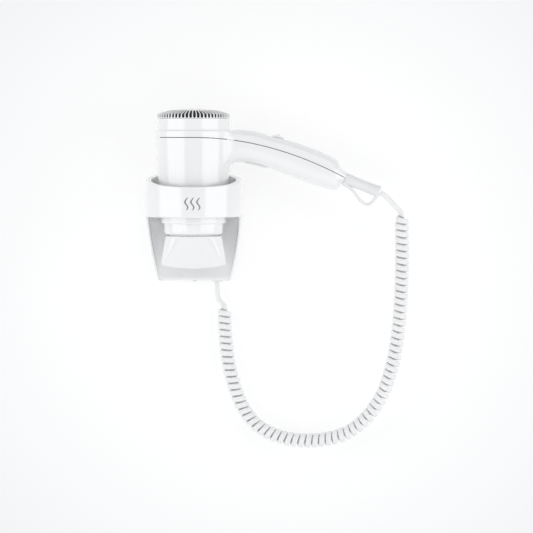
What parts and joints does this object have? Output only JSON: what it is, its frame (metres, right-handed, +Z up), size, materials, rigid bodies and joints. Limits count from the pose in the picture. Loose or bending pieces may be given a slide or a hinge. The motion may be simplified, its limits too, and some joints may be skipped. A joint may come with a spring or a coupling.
{
  "type": "wall-mounted hair dryer",
  "caption": "White wall-mounted hair dryer standing nozzle-down in a scoop-shaped wall holder, with a curved handle, slotted intake cap, air concentrator and a curly cord back to the holder.",
  "frame": {"origin": "on the wall face of the holder's back plate, straight behind the barrel's axis", "axes": "+Z up along the barrel's axis towards the air intake, +X towards the handle's end, +Y out of the holder's back into the wall"},
  "size_m": [0.2857, 0.1078, 0.3722],
  "materials": {
    "gloss_white": "high-gloss moulded ABS",
    "satin_white": "satin moulded plastic",
    "soft_pad": "soft matte elastomer",
    "grey": "matte",
    "dark": "matte heat-resistant",
    "steel": "plain",
    "brass": "plain",
    "mica": "mica sheet",
    "board": "laminate board",
    "cord": "satin flexible sheath",
    "wire": "flexible insulation"
  },
  "bodies": {
    "holder": {"holder_shell": "gloss_white", "holder_back_plate": "satin_white", "rest_ring": "soft_pad", "shell_screw": "steel", "terminal_block": "grey", "terminal_screw_1": "brass", "terminal_screw_2": "brass", "terminal_screw_3": "brass", "cord_gland": "satin_white", "cord_clamp_bar": "grey", "cord_clamp_screw_left": "steel", "cord_clamp_screw_right": "steel", "holder_inner_lead": "cord", "cord_coil": "cord", "cord_lead_holder": "cord"},
    "dryer": {"upper_housing": "gloss_white", "lower_housing": "gloss_white", "housing_screw_1": "steel", "housing_screw_2": "steel", "intake_grille": "satin_white", "intake_mesh": "steel", "fan_duct": "dark", "motor_can": "steel", "motor_end_cap": "dark", "heater_sleeve": "mica", "heater_board_a": "mica", "heater_board_b": "mica", "heater_coil": "steel", "thermostat": "grey", "thermal_fuse": "brass", "front_ring": "gloss_white", "nozzle_socket": "gloss_white", "outlet_grille": "dark", "selector_switch": "dark", "button_spring": "steel", "safety_switch": "dark", "circuit_board": "board", "rectifier": "dark", "cord_guard": "satin_white", "handle_clamp_bar": "grey", "handle_clamp_screw_left": "steel", "handle_clamp_screw_right": "steel", "handle_inner_lead": "cord", "heater_wire": "wire", "motor_wire": "wire", "cord_lead_dryer": "cord"},
    "rotor": {"impeller": "dark", "motor_shaft": "steel"},
    "nozzle": {"concentrator_nozzle": "gloss_white"},
    "selector": {"selector_slider": "satin_white"},
    "button": {"safety_button": "satin_white"}
  },
  "joints": [
    {"name": "dryer_lift", "type": "slide", "parent": "holder", "child": "dryer", "axis": [0, 0, 1], "range_m": [0, 0.11]},
    {"name": "rotor_spin", "type": "hinge", "parent": "dryer", "child": "rotor", "pos_m": [0, -0.056, 0.1045], "axis": [0, 0, 1], "continuous": true},
    {"name": "nozzle_turn", "type": "hinge", "parent": "dryer", "child": "nozzle", "pos_m": [0, -0.056, -0.0082], "axis": [0, 0, 1], "continuous": true},
    {"name": "selector_slide", "type": "slide", "parent": "dryer", "child": "selector", "axis": [0.9759, 0, -0.2181], "range_m": [-0.004, 0.004]},
    {"name": "button_press", "type": "slide", "parent": "dryer", "child": "button", "axis": [0.2385, 0, 0.9711], "range_m": [0, 0.0018], "stiffness_N_per_m": 400, "springref_m": -0.002, "deforming": ["button_spring"]}
  ]
}
